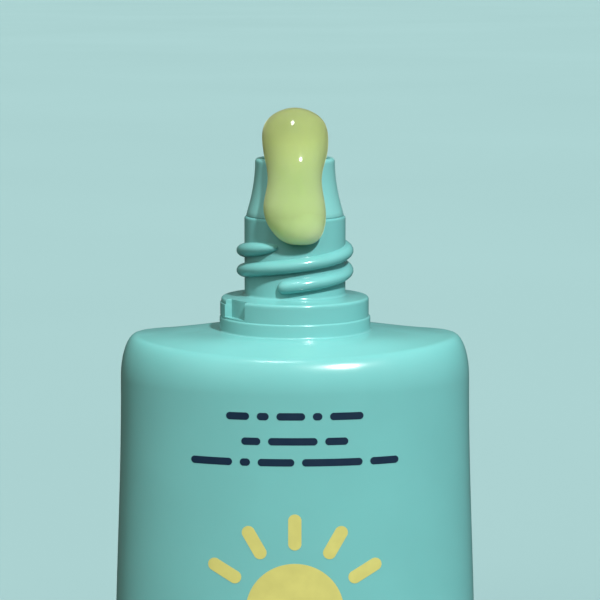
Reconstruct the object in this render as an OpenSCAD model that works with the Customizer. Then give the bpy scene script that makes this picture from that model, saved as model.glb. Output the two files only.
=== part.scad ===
// Flat-oval squeeze bottle with a nozzle, and its oval screw cap standing apart behind it.
// Millimetres, +Z up, X across the wide face, the front faces -Y, the origin is under the base.

/* [Body] */
// Width of the body at the top of its walls
shoulder_w = 45.4; // [38:0.2:56]
// Depth of the body at the top of its walls, front to back
shoulder_d = 32; // [26:0.2:40]
// Width of the body where it is widest, low down
hip_w = 47.6; // [40:0.2:60]
// Depth of the body where it is widest, low down
hip_d = 33.4; // [27:0.2:44]
// Height of the widest place above the base
hip_z = 8; // [5:0.5:20]
// Height from the base to the foot of the collar
body_h = 57.3; // [40:0.5:110]
// Height of the arched shoulder above the straight walls
shoulder_h = 6.3; // [4.5:0.1:8]
// How far the shoulder's front and back edges lie below its ridge
arch_fall = 2.2; // [0.8:0.1:2.8]
// Thickness of the blown wall
wall = 1; // [0.7:0.05:1.6]
// Thickness of the blown base
base_t = 1.9; // [1.6:0.05:3]
// Radius of the edge between the base and the walls
base_edge_r = 2.8; // [1.5:0.1:4.5]
// Depth of the hollow under the base
push_up = 0.7; // [0.3:0.05:1]
// Width of the rim that the bottle stands on
base_rim = 3; // [1.5:0.1:6]
// Length of the pinched seam under the base
seam_l = 22; // [8:0.5:30]
// Width of the pinched seam under the base
seam_w = 0.6; // [0.3:0.05:1.2]

/* [Collar] */
// Diameter of the lower collar ring
low_ring_d = 19.6; // [17:0.1:21]
// Height of the lower collar ring
low_ring_h = 1.8; // [1:0.1:3]
// How far the lower ring stands out past the upper ring
ledge = 0.22; // [0.1:0.02:0.5]
// Height of the upper collar ring at its outer edge
top_ring_h = 2.5; // [1.5:0.1:4]
// Rise of the upper ring's top from its edge to the neck
ring_slope = 0.25; // [0:0.05:0.6]
// Radius of the collar's edges
ring_edge_r = 0.35; // [0.1:0.05:0.6]
// Depth of the locking notch in the upper ring
notch_deep = 0.7; // [0.3:0.05:1.2]
// Angle that the locking notch spans
notch_angle = 23; // [10:1:40]
// Angle of the locking lug beside the notch
lug_angle = 26; // [10:1:45]
// How far the lug stands out from the upper ring
lug_out = 0.14; // [0.06:0.02:0.4]

/* [Neck] */
// Diameter of the neck
neck_d = 13.1; // [12.7:0.1:14]
// Height of the neck above the collar
neck_h = 10.5; // [9.5:0.1:14]
// Thickness of the neck's wall
neck_wall = 1.2; // [0.8:0.05:1.5]
// Rise of the thread in one full turn
thread_lead = 5.2; // [4.6:0.1:5.8]
// How far the thread stands out from the neck
thread_out = 1.05; // [0.6:0.05:1.3]
// Width of the thread where it meets the neck
thread_w = 1.9; // [1.2:0.05:2.1]
// Height of the thread's lower start above the collar
thread_start = 1.8; // [1.2:0.05:2]
// Angle that each start of the thread goes round
thread_angle = 362; // [270:1:380]

/* [Nozzle] */
// Diameter of the nozzle's flange on the neck's rim
nozzle_base_d = 12.6; // [12:0.1:12.7]
// Height of the nozzle above the neck
nozzle_h = 7.5; // [5:0.05:12]
// Diameter of the nozzle at its mouth
nozzle_tip_d = 10.3; // [8.5:0.1:11.5]
// Thickness of the nozzle's cone
nozzle_wall = 1.1; // [0.8:0.05:1.5]
// Thickness of the mouth round the orifice
mouth_t = 0.9; // [0.6:0.05:1.5]
// Diameter of the orifice
orifice_d = 3.2; // [1:0.1:3.8]
// Radius of the rim round the mouth
mouth_edge_r = 0.5; // [0.2:0.05:0.8]
// Depth of the dished mouth
mouth_dish = 0.4; // [0.2:0.05:0.7]
// Length of the plug inside the neck
plug_l = 5.5; // [3:0.1:9]
// Clearance round the plug
plug_gap = 0.04; // [0.02:0.01:0.1]

/* [Product] */
// Distance from the top of the walls down to the product's surface
fill_drop = 2.1; // [1:0.1:30]
// Clearance between the product and the blown wall
fill_gap = 0.12; // [0.05:0.01:0.3]
// Height of the bead of product, from its lower end to its top
bead_h = 17.1; // [12:0.1:22]
// Width of the bead of product
bead_w = 8.68; // [6:0.02:9.5]
// How far the bead's top stands above the nozzle
bead_top = 6.5; // [3:0.1:10]
// How thick the bead hangs in front of the neck
bead_front = 3; // [1.5:0.1:4]
// Clearance between the bead and the nozzle
bead_gap = 0.06; // [0.03:0.01:0.2]

/* [Cap] */
// Distance between the back of the bottle and the cap
cap_space = 14; // [6:1:40]
// Thickness of the cap's wall
cap_wall = 1.3; // [0.9:0.05:2]
// Thickness of the cap's flat end
cap_end_t = 1.6; // [1:0.05:2.5]
// How much narrower the cap is at its flat end, on each side
cap_taper = 0.9; // [0:0.05:1.6]
// Radius of the edge round the cap's flat end
cap_edge_r = 1.8; // [0.8:0.05:2.4]
// Thickness of the sealing disc
liner_t = 1; // [0.6:0.05:2]
// Clearance between the sealing disc and the sleeve
liner_gap = 0.15; // [0.05:0.05:0.5]
// Wall of the threaded sleeve
sleeve_wall = 1.3; // [1:0.05:1.5]
// How far below the collar's foot the cap's rim reaches when the cap is on
rim_drop = 1.2; // [0.3:0.05:1.4]
// Clearance between the bottle's thread and the sleeve
thread_gap = 0.2; // [0.1:0.05:0.4]
// Clearance between the sleeve's end and the collar when the cap is screwed down
seat_gap = 0.5; // [0.2:0.05:1]
// Height of the round socket that holds the sleeve
socket_h = 6; // [4:0.1:10]
// Thickness of the socket and its gussets
socket_wall = 0.9; // [0.6:0.05:1.2]
// Height of the splines that keep the sleeve from turning
spline_h = 4.5; // [2:0.1:8]
// How far the splines stand out of the sleeve
spline_out = 0.4; // [0.2:0.05:0.6]
// Clearance between the sleeve and its socket
socket_gap = 0.06; // [0.03:0.01:0.15]

/* [Hidden] */

$fn = 96;
oval_points = 64;
// Power of the body's plan: 2 is an ellipse, and more is squarer
plan_power_share = 2.08;
// Share of the way from the walls to the collar in which the shoulder's edge is rounded
shoulder_edge_share = 0.3;
// Share of the way from the collar to the walls in which the flat round the collar turns into the arch
shoulder_blend_share = 0.8;
// Power of the nozzle's waist: 1 is a straight cone, and more draws it in lower down
waist_power_share = 1.9;
thread_starts = 2;
thread_first_angle = -110;
thread_step = 12;
// Shares of a thread's length in which its start rises and its end fades
blunt_share = 0.03;
fade_share = 0.12;
// Shares of a thread's height and width that are left at its very ends
end_height_share = 0.1;
end_width_share = 0.4;
notch_first_angle = -156;
socket_gussets = 6;
spline_count = 12;
// One overrun for every cut that has to break through a face
overrun = wall;
// How deep a raised feature is rooted in what carries it
root = 0.3 * wall;

// Heights on the bottle, from the base up
wall_top_z = body_h - shoulder_h;
low_ring_z = body_h + low_ring_h;
collar_z = low_ring_z + top_ring_h;
neck_z = collar_z + neck_h;
tip_z = neck_z + nozzle_h;
bead_top_z = tip_z + bead_top;
bead_z = bead_top_z - bead_h;

// Radii on the bottle
low_ring_r = low_ring_d / 2;
top_ring_r = low_ring_r - ledge;
neck_r = neck_d / 2;
bore_r = neck_r - neck_wall;
thread_r = neck_r + thread_out;
collar_flat_r = low_ring_r + ring_edge_r;
nozzle_base_r = nozzle_base_d / 2;
nozzle_tip_r = nozzle_tip_d / 2;
plug_r = bore_r - plug_gap;
orifice_r = orifice_d / 2;
mouth_floor_z = tip_z - mouth_edge_r - mouth_dish;

// The cap, on its flat end with its mouth up
cap_y = max(hip_d, shoulder_d) / 2 + cap_space + shoulder_d / 2;
liner_top_z = cap_end_t + liner_t;
cap_h = liner_top_z + tip_z - body_h + rim_drop;
sleeve_h = liner_top_z + tip_z - collar_z - ring_slope - seat_gap;
sleeve_bore_r = thread_r + thread_gap;
sleeve_r = sleeve_bore_r + sleeve_wall;
socket_r = sleeve_r + spline_out + socket_gap;

function mix(a, b, t) = a + (b - a) * t;
function ease(t) = t * t * (3 - 2 * t);
function clamp_share(t) = min(1, max(0, t));
function signed_power(v, p) = sign(v) * pow(abs(v), p);

// Outline points of an arc in the plane of a turned profile
function arc(r, z, radius, from, to, steps = 6) =
    [for (i = [0:steps]) let (a = mix(from, to, i / steps)) [r + radius * cos(a), z + radius * sin(a)]];

// One flat oval ring of points at height z
function oval(half_w, half_d, power, z) =
    [for (i = [0:oval_points - 1])
        let (a = 360 * i / oval_points)
        [half_w * signed_power(cos(a), 2 / power), half_d * signed_power(sin(a), 2 / power), z]];

// Half width or half depth of the walls at height z: slim at the shoulder, wider at the hip
function side(slim, wide, z) =
    mix(slim, wide, ease(clamp_share((wall_top_z - z) / (wall_top_z - hip_z)))) / 2;

function wall_ring(z, inset) =
    oval(side(shoulder_w, hip_w, z) - inset, side(shoulder_d, hip_d, z) - inset, plan_power_share, z);

// Rings of a body from its floor up its walls, drawn in by inset
function wall_rings(floor_z, edge_r, inset, top_z, steps) = concat(
    [for (a = [0:22.5:90])
        let (z = floor_z + edge_r * (1 - cos(a)))
        wall_ring(z, inset + edge_r * (1 - sin(a)))],
    [for (i = [1:steps]) wall_ring(mix(floor_z + edge_r, top_z, i / steps), inset)]);

// Rings of the shoulder: a quarter ellipse rounds its edge, and its top is an arch from front to back
// that turns into a round flat of radius flat_r
function shoulder_rings(inset, height, flat_r, edge_steps, top_steps) =
    let (half_w = shoulder_w / 2 - inset,
         half_d = shoulder_d / 2 - inset,
         edge = [for (i = [1:edge_steps])
             let (a = 90 * i / edge_steps)
             [shoulder_edge_share * (1 - cos(a)), sin(a)]],
         top = [for (i = [1:top_steps]) [mix(shoulder_edge_share, 1, i / top_steps), 1]])
    [for (row = concat(edge, top))
        let (out = 1 - row[0],
             power = mix(2, plan_power_share, out),
             fall = arch_fall * ease(clamp_share(out / shoulder_blend_share)))
        [for (p = oval(mix(flat_r, half_w, out), mix(flat_r, half_d, out), power, wall_top_z))
            [p[0], p[1], p[2] + row[1] * (height - fall * pow(p[1] / half_d, 2))]]];

// Closed skin through rings that all have the same number of points, from the lowest up
module skin(rings) {
    n = len(rings[0]);
    last = (len(rings) - 1) * n;
    sides = [for (i = [0:len(rings) - 2], j = [0:n - 1])
        let (a = i * n + j, b = i * n + (j + 1) % n)
        each [[a, a + n, b + n], [a, b + n, b]]];
    ends = [[for (j = [0:n - 1]) j], [for (j = [0:n - 1]) last + n - 1 - j]];
    polyhedron([for (ring = rings) each ring], concat(sides, ends));
}

// One raised thread of length angle, rooted in a wall of radius wall_r; out is negative inside a bore
module thread(wall_r, out, width, z, from, angle) {
    steps = ceil(angle / thread_step);
    // Half of the thread's outline: shares of its height off the wall and of its half width
    outline_share = [[0, 1], [0.2, 0.93], [0.62, 0.68], [0.9, 0.38], [1, 0]];
    outline = concat([for (p = outline_share) [p[0], -p[1]]],
                     [for (i = [len(outline_share) - 2:-1:0]) outline_share[i]]);
    side_sign = sign(out);
    turned = side_sign > 0 ? [for (i = [len(outline) - 1:-1:0]) outline[i]] : outline;
    shares = concat([0, blunt_share / 3],
                    [for (i = [1:steps - 1]) mix(blunt_share, 1 - fade_share / 3, i / steps)],
                    [1 - fade_share / 6, 1]);
    rings = [for (t = shares)
        let (near = clamp_share(t / blunt_share),
             far = clamp_share((1 - t) / fade_share),
             full = min(sqrt(near * (2 - near)), sqrt(far * (2 - far))),
             a = from + angle * t,
             base_r = wall_r - side_sign * root)
        [for (p = turned)
            let (r = base_r + (out + side_sign * root) * mix(end_height_share, 1, full) * p[0],
                 h = width / 2 * mix(end_width_share, 1, full) * p[1])
            [r * cos(a), r * sin(a), z + thread_lead * angle / 360 * t + h]]];
    skin(rings);
}

module all_threads(wall_r, out, width, z, from) {
    for (i = [0:thread_starts - 1])
        thread(wall_r, out, width, z, from + 360 / thread_starts * i, thread_angle);
}

// Turned sector of the collar between two radii and two heights
module ring_sector(inner_r, outer_r, low_z, high_z, from, angle) {
    rotate([0, 0, from])
        rotate_extrude(angle = angle)
            translate([inner_r, low_z]) square([outer_r - inner_r, high_z - low_z]);
}

module collar_and_neck() {
    slope_z = collar_z + ring_slope;
    rotate_extrude() polygon(concat(
        [[0, body_h - root], [low_ring_r, body_h - root]],
        arc(low_ring_r - ledge, low_ring_z - ledge, ledge, 0, 90, 4),
        arc(top_ring_r - ring_edge_r, collar_z - ring_edge_r, ring_edge_r, 0, 90),
        [[neck_r, slope_z]],
        arc(neck_r - root, neck_z - root, root, 0, 90, 3),
        [[0, neck_z]]));
}

module base_hollow() {
    half_w = side(shoulder_w, hip_w, 0) - base_edge_r - base_rim;
    half_d = side(shoulder_d, hip_d, 0) - base_edge_r - base_rim;
    skin(concat(
        [oval(half_w, half_d, plan_power_share, -overrun)],
        [for (a = [0:30:60])
            oval(half_w * cos(a), half_d * cos(a), plan_power_share, push_up * sin(a) / sin(60))]));
}

module bottle_shell() {
    color("mediumturquoise") {
        difference() {
            union() {
                skin(concat(wall_rings(0, base_edge_r, 0, wall_top_z, 8),
                            shoulder_rings(0, shoulder_h, collar_flat_r, 6, 4)));
                collar_and_neck();
                ring_sector(top_ring_r - notch_deep, top_ring_r + lug_out, low_ring_z - root,
                            collar_z - 2 * ring_edge_r, notch_first_angle - lug_angle, lug_angle);
                all_threads(neck_r, thread_out, thread_w, collar_z + thread_start, thread_first_angle);
            }
            skin(concat(wall_rings(base_t, base_edge_r, wall, wall_top_z, 6),
                        shoulder_rings(wall, shoulder_h - wall, bore_r + wall, 4, 3)));
            translate([0, 0, wall_top_z]) cylinder(r = bore_r, h = neck_z - wall_top_z + overrun);
            ring_sector(top_ring_r - notch_deep, top_ring_r + overrun, low_ring_z + ledge, collar_z + overrun,
                        notch_first_angle, notch_angle);
            base_hollow();
        }
        translate([-seam_l / 2, -seam_w / 2, push_up / 2]) cube([seam_l, seam_w, push_up]);
    }
}

// Outline of the nozzle's waisted cone, from its foot up, set out from the real surface by gap
function cone_outline(gap) =
    [for (i = [0:8])
        let (t = i / 8)
        [nozzle_tip_r + (nozzle_base_r - nozzle_tip_r) * pow(1 - t, waist_power_share) + gap,
         neck_z + (nozzle_h - mouth_edge_r) * t]];

module nozzle_tip() {
    inner_r = nozzle_tip_r - nozzle_wall;
    color("mediumturquoise")
        difference() {
            rotate_extrude() polygon(concat(
                [[0, neck_z - plug_l], [plug_r - root, neck_z - plug_l], [plug_r, neck_z - plug_l + root],
                 [plug_r, neck_z]],
                cone_outline(0),
                arc(nozzle_tip_r - mouth_edge_r, tip_z - mouth_edge_r, mouth_edge_r, 0, 180),
                [[orifice_r, mouth_floor_z], [0, mouth_floor_z]]));
            translate([0, 0, neck_z - plug_l - overrun])
                cylinder(r = inner_r, h = mouth_floor_z - mouth_t - neck_z + plug_l + overrun);
            translate([0, 0, neck_z]) cylinder(r = orifice_r, h = nozzle_h + overrun);
        }
}

module sunscreen_fill() {
    color("palegoldenrod")
        skin(wall_rings(base_t + fill_gap, base_edge_r, wall + fill_gap, wall_top_z - fill_drop, 6));
}

// The bead as level slices: share of its height, share of its half width, and the shares that place
// its front and back, measured from the axis in radii of the nozzle's mouth
bead_share = [
    [0.000, 0.16, 1.52, 1.30], [0.015, 0.34, 1.64, 1.10], [0.045, 0.56, 1.74, 0.60],
    [0.090, 0.72, 1.82, 0.40], [0.150, 0.86, 1.86, 0.20], [0.220, 0.93, 1.85, 0.20],
    [0.300, 0.92, 1.78, 0.20], [0.380, 0.85, 1.67, 0.20], [0.460, 0.80, 1.58, 0.10],
    [0.540, 0.82, 1.55, 0.00], [0.610, 0.90, 1.55, -0.30], [0.670, 0.96, 1.52, -0.56],
    [0.740, 1.00, 1.44, -0.66], [0.810, 1.00, 1.32, -0.66], [0.870, 0.93, 1.18, -0.58],
    [0.920, 0.80, 1.02, -0.40], [0.960, 0.60, 0.84, -0.18], [0.988, 0.34, 0.62, 0.04],
    [1.000, 0.12, 0.46, 0.22]];
// The slice whose front stands bead_front clear of the nozzle's mouth
bead_front_slice = 7;

module bead_form() {
    front_scale = (nozzle_tip_r + bead_front) / (nozzle_tip_r * bead_share[bead_front_slice][2]);
    skin([for (s = bead_share)
        let (front = -nozzle_tip_r * s[2] * front_scale,
             back = -nozzle_tip_r * s[3])
        [for (i = [0:23])
            let (a = 15 * i)
            [bead_w / 2 * s[1] * cos(a), mix(front, back, 0.5) + (back - front) / 2 * sin(a),
             bead_z + bead_h * s[0]]]]);
}

module sunscreen_bead() {
    color("yellowgreen")
        difference() {
            bead_form();
            rotate_extrude() polygon(concat(
                [[0, collar_z], [neck_r + bead_gap, collar_z], [neck_r + bead_gap, neck_z + bead_gap]],
                cone_outline(bead_gap),
                [[nozzle_tip_r + bead_gap, tip_z + bead_gap], [0, tip_z + bead_gap]]));
        }
}

function cap_ring(z, inset) =
    let (slim = cap_taper * (1 - z / cap_h) + inset)
    oval(shoulder_w / 2 - slim, shoulder_d / 2 - slim, plan_power_share, z);

module cap_shell() {
    color("mediumturquoise")
        translate([0, cap_y, 0]) {
            difference() {
                skin(concat(
                    [for (a = [0:30:90]) cap_ring(cap_edge_r * (1 - cos(a)), cap_edge_r * (1 - sin(a)))],
                    [cap_ring(cap_h, 0)]));
                skin([cap_ring(cap_end_t, cap_wall + root), cap_ring(cap_end_t + root, cap_wall),
                      cap_ring(cap_h + overrun, cap_wall)]);
            }
            difference() {
                translate([0, 0, cap_end_t / 2])
                    cylinder(r = socket_r + socket_wall, h = cap_end_t / 2 + socket_h);
                translate([0, 0, -overrun]) cylinder(r = socket_r, h = cap_h);
            }
            intersection() {
                for (i = [0:socket_gussets - 1])
                    rotate([0, 0, 360 / socket_gussets * i])
                        translate([socket_r + socket_wall / 2, -socket_wall / 2, 0])
                            cube([shoulder_w / 2, socket_wall, cap_end_t + socket_h - root]);
                skin([cap_ring(cap_end_t / 3, cap_wall / 2), cap_ring(cap_h, cap_wall / 2)]);
            }
        }
}

module cap_sleeve() {
    color("mediumturquoise")
        translate([0, cap_y, 0]) {
            difference() {
                translate([0, 0, cap_end_t]) cylinder(r = sleeve_r, h = sleeve_h - cap_end_t);
                translate([0, 0, cap_end_t - overrun]) cylinder(r = sleeve_bore_r, h = sleeve_h + 2 * overrun);
            }
            all_threads(sleeve_bore_r, -(thread_out - thread_gap), thread_lead / thread_starts / 3,
                        sleeve_h - thread_lead - thread_w, 0);
            for (i = [0:spline_count - 1])
                rotate([0, 0, 360 / spline_count * i])
                    translate([sleeve_r, 0, cap_end_t]) cylinder(r = spline_out, h = spline_h);
        }
}

module cap_liner() {
    color("whitesmoke")
        translate([0, cap_y, cap_end_t]) cylinder(r = sleeve_bore_r - liner_gap, h = liner_t);
}

bottle_shell();
nozzle_tip();
sunscreen_fill();
sunscreen_bead();
cap_shell();
cap_sleeve();
cap_liner();
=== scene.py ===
import math

import bmesh
import bpy
from bpy.props import FloatProperty, FloatVectorProperty, IntProperty, PointerProperty
from bpy.types import Operator, Panel, PropertyGroup
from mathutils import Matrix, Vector


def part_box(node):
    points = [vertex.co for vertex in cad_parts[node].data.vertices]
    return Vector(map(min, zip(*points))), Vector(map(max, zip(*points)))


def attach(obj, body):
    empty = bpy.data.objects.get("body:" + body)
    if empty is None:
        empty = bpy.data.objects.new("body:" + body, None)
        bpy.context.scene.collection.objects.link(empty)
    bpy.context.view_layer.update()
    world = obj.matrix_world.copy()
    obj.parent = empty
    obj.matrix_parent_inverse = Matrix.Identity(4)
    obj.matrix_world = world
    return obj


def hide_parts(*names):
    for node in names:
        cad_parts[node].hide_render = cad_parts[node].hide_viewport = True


bl_info = {
    "name": "Squeeze bottle with screw cap",
    "version": (1, 0, 0),
    "blender": (4, 5, 0),
    "location": "View3D > Sidebar > Bottle",
    "description": "Models the finish of a flat-oval squeeze bottle, its product and its screw cap",
    "category": "Object",
}

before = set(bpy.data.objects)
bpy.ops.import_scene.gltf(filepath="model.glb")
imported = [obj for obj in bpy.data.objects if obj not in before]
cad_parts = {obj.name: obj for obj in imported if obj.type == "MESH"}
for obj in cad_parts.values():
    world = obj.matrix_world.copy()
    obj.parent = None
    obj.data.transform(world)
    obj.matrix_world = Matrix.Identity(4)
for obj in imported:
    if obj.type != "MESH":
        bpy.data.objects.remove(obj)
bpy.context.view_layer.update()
SHELL_LOW, SHELL_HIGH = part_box("bottle_shell")
NOZZLE_LOW, NOZZLE_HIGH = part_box("nozzle_tip")
FILL_LOW, FILL_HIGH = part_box("sunscreen_fill")
BEAD_LOW, BEAD_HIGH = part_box("sunscreen_bead")
CAP_LOW, CAP_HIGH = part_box("cap_shell")
SLEEVE_LOW, SLEEVE_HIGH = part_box("cap_sleeve")
LINER_LOW, LINER_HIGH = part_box("cap_liner")

MM = 0.001
NEAR = 0.001 * MM
TINY_RIM = 0.15 * MM
# Power of the oval of body and cap, a little squarer than an ellipse, and the bevel profile that gives it
PLAN_POWER = 2.08
OVAL_PROFILE = 2 ** (-2 / PLAN_POWER)
# Shares of the way over the shoulder: the rounded edge at the walls, and the arch up to the collar's flat
SHOULDER_EDGE = 0.3
SHOULDER_BLEND = 0.8
# At the two narrow sides the rounded edge is tighter, and the ridge falls a little on its way out
SIDE_EDGE = 0.16
SIDE_FALL = 0.12
# A thread's blunt start and faded end, as shares of its length, and its size at its very ends
THREAD_BLUNT = 0.03
THREAD_FADE = 0.12
THREAD_TIP = 0.1
# How deep a thread is set into its wall, the angle between two of its sections, and the number of threads
THREAD_ROOT = 0.25 * MM
THREAD_STEP = math.radians(6)
THREAD_STARTS = 2
# The nozzle: how sharply its waist is drawn in, the clearance round its plug and the thickness of its mouth
WAIST_POWER = 1.9
PLUG_GAP = 0.04 * MM
MOUTH_T = 0.9 * MM
# The product's surface near the wall: its depth there and its distance from the wall, in millimetres
MENISCUS = ((0.05, 0.3), (0.2, 0.8), (0.35, 1.6), (0.42, 3))
# Points round a printed bar, half of them at each end
BAR_POINTS = 16
# The print begins flat in a plane in front of the body, cut into faces that are narrow enough to follow it
PRINT_Y = -25 * MM
PRINT_FACE_W = 0.9 * MM
PRINT_FACE_H = 2.7 * MM
# Most of a noise's values lie between these two
NOISE_LOW = 0.3
NOISE_HIGH = 0.7
# The paper of the stage: its width, the height of its wall and the radius of the bend between them, in metres
PAPER_W = 16
PAPER_WALL_H = 5
PAPER_BEND_R = 2
# The lamps: name, the size that holds the strength, then azimuth, elevation and spread in degrees, and colour
LAMPS = [
    ("key_light", "key", 25, 46, 4, (1, 0.98, 0.96)),
    ("top_light", "top", -20, 75, 6, (0.97, 1, 1)),
    ("fill_light", "fill", -42, 43, 60, (1, 0.9, 0.8)),
    ("side_light", "side", 72, 30, 60, (0.94, 1, 1)),
    ("back_light", "back", 180, 20, 50, (0.95, 1, 1)),
]
# A lamp with a wider spread than this would show as a disc in the gloss
GLOSSY_SPREAD = 30
ROOM_COLOUR = (1, 0.74, 0.58, 1)


def size(name, about, mm):
    """A length that a user can change."""
    return FloatProperty(name=name, description=about, default=mm * MM, unit="LENGTH", precision=5)


def angle(name, about, degrees):
    """An angle that a user can change."""
    return FloatProperty(name=name, description=about, default=math.radians(degrees), subtype="ANGLE")


def colour(name, about, rgb):
    """A colour that a user can change."""
    return FloatVectorProperty(name=name, description=about, default=rgb, subtype="COLOR", size=3,
                               min=0, max=1)


def light(name, about, strength):
    """A strength of light that a user can change."""
    return FloatProperty(name=name, description=about, default=strength, min=0)


def count(name, about, number):
    """A number of pieces that a user can change."""
    return IntProperty(name=name, description=about, default=number, min=2)


class BodySizes(PropertyGroup):
    shoulder_w: size("Shoulder width", "Width at the top of the walls", 45.4)
    shoulder_d: size("Shoulder depth", "Depth at the top of the walls", 32)
    hip_w: size("Hip width", "Width at the widest place, low down", (SHELL_HIGH.x - SHELL_LOW.x) / MM)
    hip_d: size("Hip depth", "Depth at the widest place, low down", (SHELL_HIGH.y - SHELL_LOW.y) / MM)
    hip_z: size("Hip height", "Height of the widest place", 8)
    height: size("Body height", "Height of the foot of the collar", 57.3)
    shoulder_h: size("Shoulder height", "Height of the arched shoulder", 6.3)
    arch_fall: size("Arch", "How far the shoulder's front and back lie below its ridge", 2.2)
    flat_r: size("Collar flat", "Radius of the flat that the collar stands on", 10.15)
    edge_r: size("Base edge", "Radius of the edge under the walls", 2.8)
    push_up: size("Base hollow", "Depth of the hollow under the base", 0.7)
    rim: size("Base rim", "Width of the rim that the bottle stands on", 3)
    seam_l: size("Base seam", "Length of the pinched seam under the base", 22)
    seam_w: size("Seam width", "Width of the pinched seam under the base", 0.6)


class NeckSizes(PropertyGroup):
    low_ring_r: size("Lower ring", "Radius of the lower collar ring", 9.8)
    low_ring_h: size("Lower ring height", "Height of the lower collar ring", 1.8)
    ledge: size("Ledge", "How far the lower ring stands out past the upper one", 0.22)
    top_ring_h: size("Upper ring height", "Height of the upper collar ring", 2.5)
    slope: size("Slope", "Rise of the collar's top up to the neck", 0.25)
    edge_r: size("Collar edge", "Radius of the collar's top edge", 0.35)
    notch_deep: size("Notch depth", "Depth of the locking notch", 0.7)
    notch_from: angle("Notch place", "Angle at which the locking notch starts", -156)
    notch_angle: angle("Notch angle", "Angle that the locking notch spans", 23)
    lug_angle: angle("Lug angle", "Angle that the locking lug spans", 26)
    lug_out: size("Lug", "How far the lug stands out from the upper ring", 0.14)
    neck_r: size("Neck", "Radius of the neck", 6.55)
    neck_wall: size("Neck wall", "Thickness of the neck's wall", 1.2)
    lead: size("Thread lead", "Rise of the thread in one full turn", 5.2)
    thread_out: size("Thread height", "How far the thread stands out from the neck", 1.05)
    thread_w: size("Thread width", "Width of the thread at the neck", 1.9)
    thread_z: size("Thread start", "Height of the thread's start above the collar", 1.8)
    thread_from: angle("Thread place", "Angle at which the first thread starts", -110)
    thread_turn: angle("Thread turn", "Angle that each of the threads goes round", 362)


class NozzleSizes(PropertyGroup):
    flange_r: size("Flange", "Radius of the flange on the neck's rim", 6.3)
    tip_r: size("Tip", "Radius of the nozzle at its mouth", 5.15)
    wall: size("Wall", "Thickness of the nozzle's cone", 1.1)
    lip_r: size("Lip", "Radius of the rim round the mouth", 0.5)
    dish: size("Dish", "Depth of the dished mouth", 0.4)
    orifice_r: size("Orifice", "Radius of the orifice", 1.6)
    bead_front: size("Bead front", "How thick the bead hangs in front of the nozzle", 3)


class CapSizes(PropertyGroup):
    wall: size("Wall", "Thickness of the cap's wall", 1.3)
    end_t: size("End", "Thickness of the cap's flat end", 1.6)
    taper: size("Taper", "How much narrower the flat end is on each side", 0.9)
    edge_r: size("Edge", "Radius of the edge round the flat end", 1.8)
    socket_h: size("Socket height", "Height of the socket that holds the sleeve", 6)
    socket_wall: size("Socket wall", "Thickness of the socket and its gussets", 0.9)
    socket_gap: size("Socket gap", "Clearance between the sleeve and its socket", 0.06)
    gussets: count("Gussets", "Number of gussets round the socket", 6)
    sleeve_wall: size("Sleeve wall", "Wall of the threaded sleeve", 1.3)
    spline_h: size("Spline height", "Height of the splines on the sleeve", 4.5)
    spline_out: size("Spline", "How far the splines stand out of the sleeve", 0.4)
    splines: count("Splines", "Number of splines round the sleeve", 12)
    thread_gap: size("Thread gap", "Clearance between the two threads", 0.2)


class PrintSizes(PropertyGroup):
    dash_h: size("Dash height", "Height of one printed dash", 0.95)
    dash_gap: size("Dash gap", "Gap between two printed dashes", 0.95)
    sun_z: size("Sun height", "Height of the printed sun's centre", 23.6)
    sun_r: size("Sun disc", "Radius of the printed disc", 6.2)
    ray_from: size("Ray start", "Distance of a ray's foot from the sun's centre", 7.9)
    ray_to: size("Ray end", "Distance of a ray's tip from the sun's centre", 12.5)
    ray_w: size("Ray width", "Width of one ray", 1.7)
    rays: count("Rays", "Number of rays", 12)
    ink: size("Ink", "Thickness of the printed ink", 0.02)


class Finishes(PropertyGroup):
    plastic: colour("Bottle plastic", "Colour of the blown bottle and the cap", (0.155, 0.465, 0.462))
    nozzle: colour("Nozzle plastic", "Colour of the pressed-in nozzle", (0.20, 0.54, 0.53))
    gel: colour("Product", "Colour of the product", (0.345, 0.49, 0.212))
    line_ink: colour("Line ink", "Colour of the printed dashes", (0.006, 0.022, 0.05))
    sun_ink: colour("Sun ink", "Colour of the printed sun", (0.53, 0.535, 0.165))
    foam: colour("Liner foam", "Colour of the sealing disc", (0.80, 0.82, 0.80))
    stage: colour("Stage", "Colour of the floor and the backdrop", (0.252, 0.408, 0.420))


class StageSizes(PropertyGroup):
    aim: FloatVectorProperty(name="Aim", description="Point that the camera looks at",
                             subtype="TRANSLATION", size=3, default=(0.65 * MM, 0, 61.05 * MM))
    distance: size("Camera distance", "Distance from the camera to its aim", 350)
    azimuth: angle("Camera azimuth", "Turn of the camera round the bottle", 0)
    elevation: angle("Camera elevation", "Angle of the camera above the horizon", 7.5)
    view_w: size("View width", "Width of the view at the aim", 78)
    key: light("Key light", "Strength of the key light", 3.9)
    top: light("Top light", "Strength of the light overhead", 0.4)
    fill: light("Fill light", "Strength of the broad light on the left", 1.55)
    side: light("Side light", "Strength of the light on the right", 0.75)
    back: light("Back light", "Strength of the light behind the bottle", 1.2)
    glow: light("Room light", "Strength of the even light of the room", 0.05)


def begin():
    """Leaves edit mode and deselects everything, so that the next operator acts on its own piece alone."""
    if bpy.context.object and bpy.context.object.mode != "OBJECT":
        bpy.ops.object.mode_set(mode="OBJECT")
    bpy.ops.object.select_all(action="DESELECT")


def pick(piece):
    """Leaves edit mode, selects one piece alone and makes it the active one."""
    begin()
    piece.select_set(True)
    bpy.context.view_layer.objects.active = piece


def edit(name):
    """Names the new primitive, puts its place in its mesh and opens it in edit mode."""
    piece = bpy.context.active_object
    piece.name = name
    piece.data.name = name
    bpy.ops.object.transform_apply(location=True, rotation=True, scale=True)
    bpy.ops.object.mode_set(mode="EDIT")
    bpy.ops.mesh.select_mode(type="VERT")
    bpy.ops.mesh.select_all(action="SELECT")
    return piece


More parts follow.
